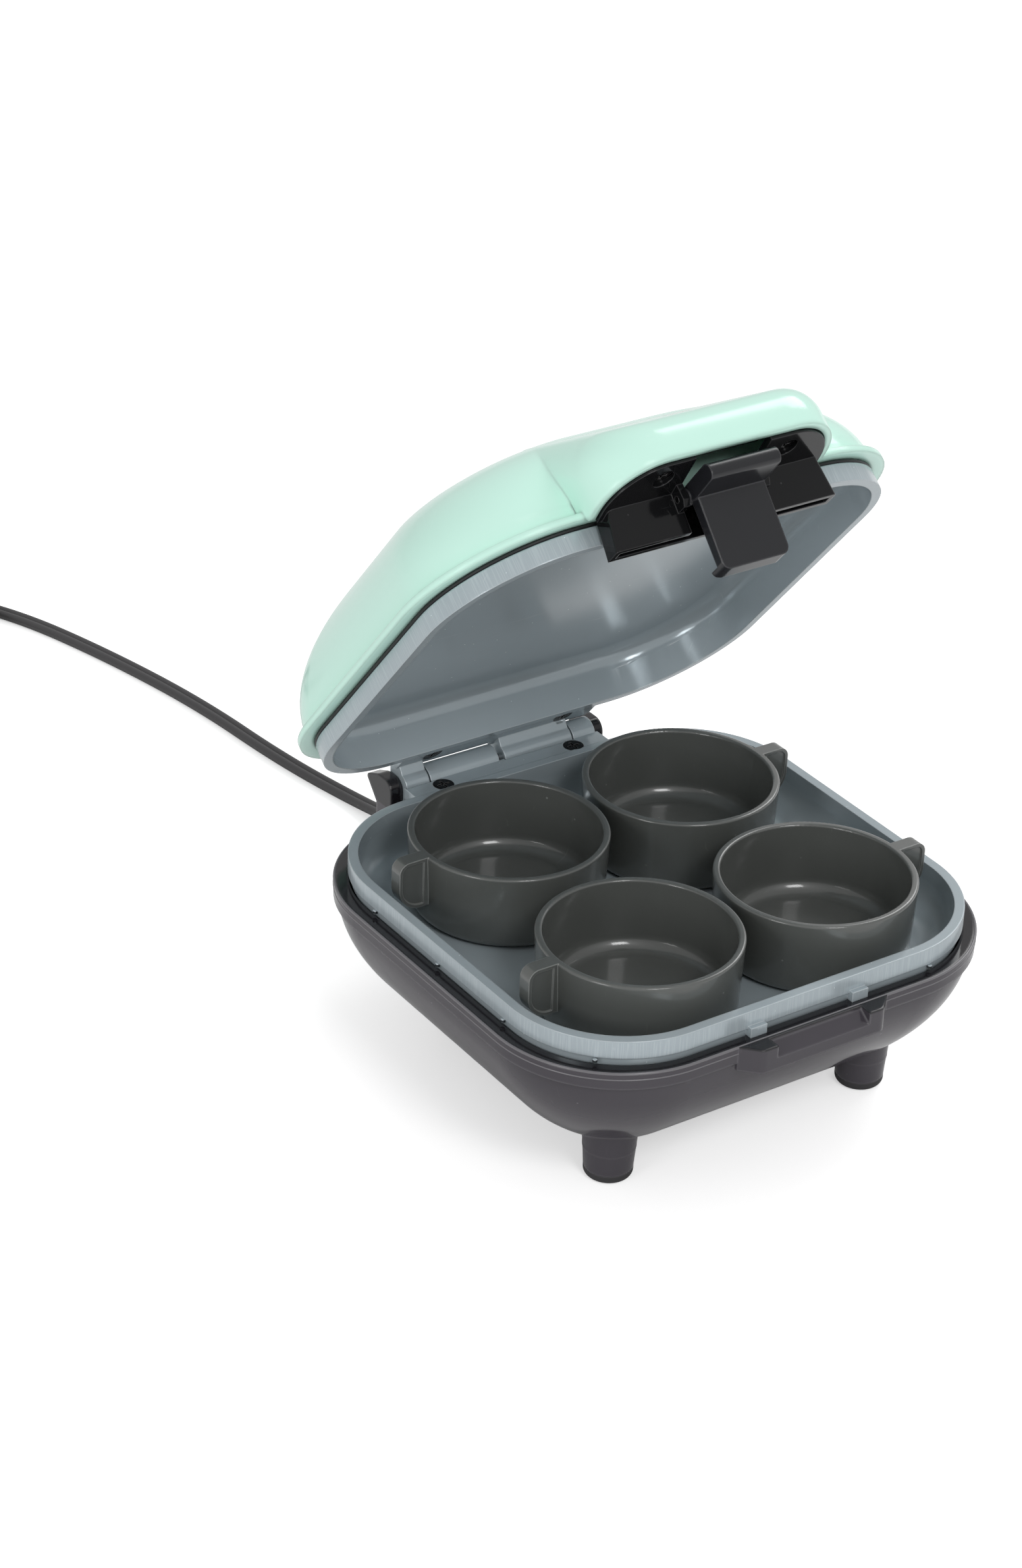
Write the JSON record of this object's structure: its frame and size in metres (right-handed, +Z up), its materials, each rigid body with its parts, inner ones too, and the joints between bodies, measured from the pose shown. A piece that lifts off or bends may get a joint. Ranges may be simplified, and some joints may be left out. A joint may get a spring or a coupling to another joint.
{
  "type": "egg bite maker",
  "caption": "Countertop egg bite maker on short feet: a bowl-shaped base with a heated pan and lift-out cups, a hinged domed lid with a hooded handle and a rocking latch, and a power cord.",
  "frame": {"origin": "on the ground under the centre of the object's bounding box without its cord, at rest with the lid half open", "axes": "+Z up; -Y towards the user, where the latch is; +Y to the hinge; +X to the right seen from the latch"},
  "size_m": [0.239, 0.4836, 0.2184],
  "materials": {
    "base_plastic": "dark grey glossy moulding",
    "black_plastic": "near black gloss moulding",
    "brass": "plated contact metal",
    "ceramic": "white terminal moulding",
    "coated_casting": "grey non-stick coated die casting",
    "cord_rubber": "dark grey flexible sheath",
    "cup_rubber": "dark grey satin silicone",
    "element_steel": "dulled steel sheath",
    "lamp": "small neon lamp",
    "latch_plastic": "dark grey satin moulding",
    "lead_sheath": "white lead insulation",
    "lens": "clear red lens",
    "mint_plastic": "pale green gloss moulding",
    "pad_rubber": "dark rubber",
    "steel": "zinc plated steel"
  },
  "bodies": {
    "base": {"base_hinge_screw_left": "steel", "base_hinge_screw_right": "steel", "base_shell": "base_plastic", "clamp_screw": "steel", "element_clamp": "steel", "foot_pad_back_left": "pad_rubber", "foot_pad_back_right": "pad_rubber", "foot_pad_front_left": "pad_rubber", "foot_pad_front_right": "pad_rubber", "heat_shield": "steel", "heater_leads": "lead_sheath", "heating_element": "element_steel", "hinge_pin": "steel", "housing_screw_back_left": "steel", "housing_screw_back_right": "steel", "housing_screw_front_left": "steel", "housing_screw_front_right": "steel", "lower_pan": "coated_casting", "plug_blade_left": "brass", "plug_blade_right": "brass", "plug_body": "cord_rubber", "power_cord": "cord_rubber", "power_cord_coil": "cord_rubber", "strain_relief": "cord_rubber", "supply_leads": "lead_sheath", "terminal_block": "ceramic", "thermal_fuse": "ceramic", "thermostat": "steel"},
    "lid": {"lid_shell": "mint_plastic", "upper_pan": "coated_casting", "upper_pan_rim": "coated_casting", "lid_hinge_screw_left": "steel", "lid_hinge_screw_right": "steel", "handle_box": "black_plastic", "handle_screw_left": "steel", "handle_screw_right": "steel", "latch_pin": "steel", "latch_spring": "steel", "indicator_lens": "lens", "indicator_lamp": "lamp"},
    "latch": {"latch": "latch_plastic"},
    "cup_front_left": {"cup_front_left": "cup_rubber"},
    "cup_back_left": {"cup_back_left": "cup_rubber"},
    "cup_front_right": {"cup_front_right": "cup_rubber"},
    "cup_back_right": {"cup_back_right": "cup_rubber"}
  },
  "joints": [
    {"name": "lid_hinge", "type": "hinge", "parent": "base", "child": "lid", "pos_m": [0, 0.07767, 0.0601], "axis": [-1, 0, 0], "range_deg": [-50, 45]},
    {"name": "latch_release", "type": "hinge", "parent": "lid", "child": "latch", "pos_m": [0, -0.02716, 0.19654], "axis": [-1, 0, 0], "range_deg": [0, 10], "stiffness_Nm_per_rad": 0.02, "springref_deg": -20.05},
    {"name": "cup_front_left_lift", "type": "slide", "parent": "base", "child": "cup_front_left", "axis": [0, 0, 1], "range_m": [0, 0.02]},
    {"name": "cup_back_left_lift", "type": "slide", "parent": "base", "child": "cup_back_left", "axis": [0, 0, 1], "range_m": [0, 0.02]},
    {"name": "cup_front_right_lift", "type": "slide", "parent": "base", "child": "cup_front_right", "axis": [0, 0, 1], "range_m": [0, 0.02]},
    {"name": "cup_back_right_lift", "type": "slide", "parent": "base", "child": "cup_back_right", "axis": [0, 0, 1], "range_m": [0, 0.02]}
  ]
}
